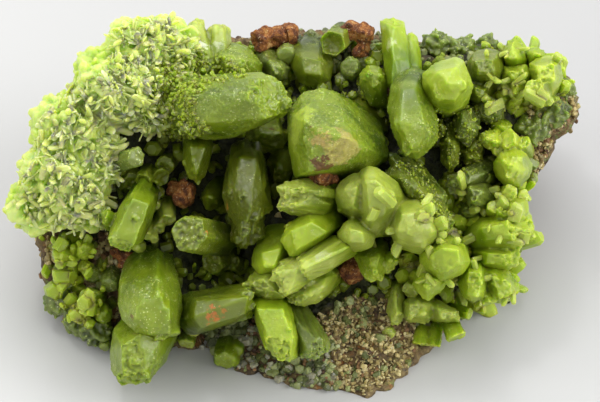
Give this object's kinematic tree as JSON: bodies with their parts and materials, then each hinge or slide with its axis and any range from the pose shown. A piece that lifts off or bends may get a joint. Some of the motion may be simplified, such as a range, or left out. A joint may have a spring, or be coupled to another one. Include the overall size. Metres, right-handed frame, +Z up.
{
  "type": "pyromorphite specimen",
  "caption": "Hand specimen of apple-green hexagonal pyromorphite crystals and sugary druses on a lump of brown gossan, cut off flat underneath to rest as shown.",
  "frame": {"origin": "centre of the bounding box, on the flat underside", "axes": "+Z up off the resting face, +X along the specimen's length to the right as seen from its crystal side, +Y away from the crystal side towards the back of the lump"},
  "size_m": [0.0503, 0.0365, 0.0233],
  "materials": {
    "green_crystal": "waxy translucent apple green, finely granular",
    "pale_crystal": "pale yellow-green, resinous, with clean bright faces",
    "olive_crystal": "dark olive green, resinous",
    "grey_crystal": "grey-green, frosted",
    "bright_druse": "sparkling light yellow-green sugar of small prisms",
    "grey_druse": "dull grey-green sugar of small prisms",
    "limonite": "earthy, orange to dark brown, matt",
    "matrix": "rough brown gossan with tan and grey-green grains, matt"
  },
  "bodies": {
    "root": {"crystal_back_grey_barrel": "grey_crystal", "crystal_back_grey_prism": "grey_crystal", "crystal_behind_centre": "olive_crystal", "crystal_bottom_smooth": "pale_crystal", "crystal_bottom_striated": "grey_crystal", "crystal_centre_large": "green_crystal", "crystal_centre_left": "olive_crystal", "crystal_centre_slanted": "green_crystal", "crystal_dark_middle": "grey_crystal", "crystal_frosted_end_top": "green_crystal", "crystal_granular_slab": "green_crystal", "crystal_grey_lath_right": "grey_crystal", "crystal_hanging_left": "olive_crystal", "crystal_hexagonal_end": "green_crystal", "crystal_hollow": "olive_crystal", "crystal_lower_left_barrel": "green_crystal", "crystal_lower_left_foot": "green_crystal", "crystal_lower_prism": "olive_crystal", "crystal_lower_right_leaf": "pale_crystal", "crystal_lower_right_slanted": "green_crystal", "crystal_right_of_centre_low": "pale_crystal", "crystal_shadowed_middle": "grey_crystal", "crystal_smooth_left_of_centre": "green_crystal", "crystal_sparkling_end": "grey_crystal", "crystal_tabular_left": "pale_crystal", "crystal_upper_left_large": "green_crystal", "crystal_upper_right_barrel": "green_crystal", "crystal_upper_right_fat": "green_crystal", "crystals_below_frosted": "green_crystal", "crystals_bright_right": "pale_crystal", "crystals_centre_cluster": "pale_crystal", "crystals_centre_star": "pale_crystal", "crystals_dark_right_of_barrel": "grey_crystal", "crystals_grey_right_of_fat": "grey_crystal", "crystals_lath_group": "pale_crystal", "crystals_left_flank_knobs": "grey_crystal", "crystals_left_rim_green": "olive_crystal", "crystals_lower_right_corner": "pale_crystal", "crystals_lower_right_teeth": "pale_crystal", "crystals_lower_right_yellow": "pale_crystal", "crystals_olive_hollow": "olive_crystal", "crystals_olive_upper_right": "olive_crystal", "crystals_pointed_upper_right": "pale_crystal", "crystals_ribbed_right": "grey_crystal", "crystals_right_edge_large": "green_crystal", "crystals_right_knob": "green_crystal", "crystals_top_left_pair": "green_crystal", "crystals_top_tall_pair": "green_crystal", "druse_back_top": "grey_druse", "druse_left": "bright_druse", "druse_lower_left": "grey_druse", "druse_right_edge": "grey_druse", "druse_upper_left": "bright_druse", "limonite_left": "limonite", "limonite_lower_centre": "limonite", "limonite_middle_left": "limonite", "limonite_on_centre_crystal": "limonite", "limonite_top_left": "limonite", "limonite_top_middle": "limonite", "matrix": "matrix"}
  },
  "joints": []
}
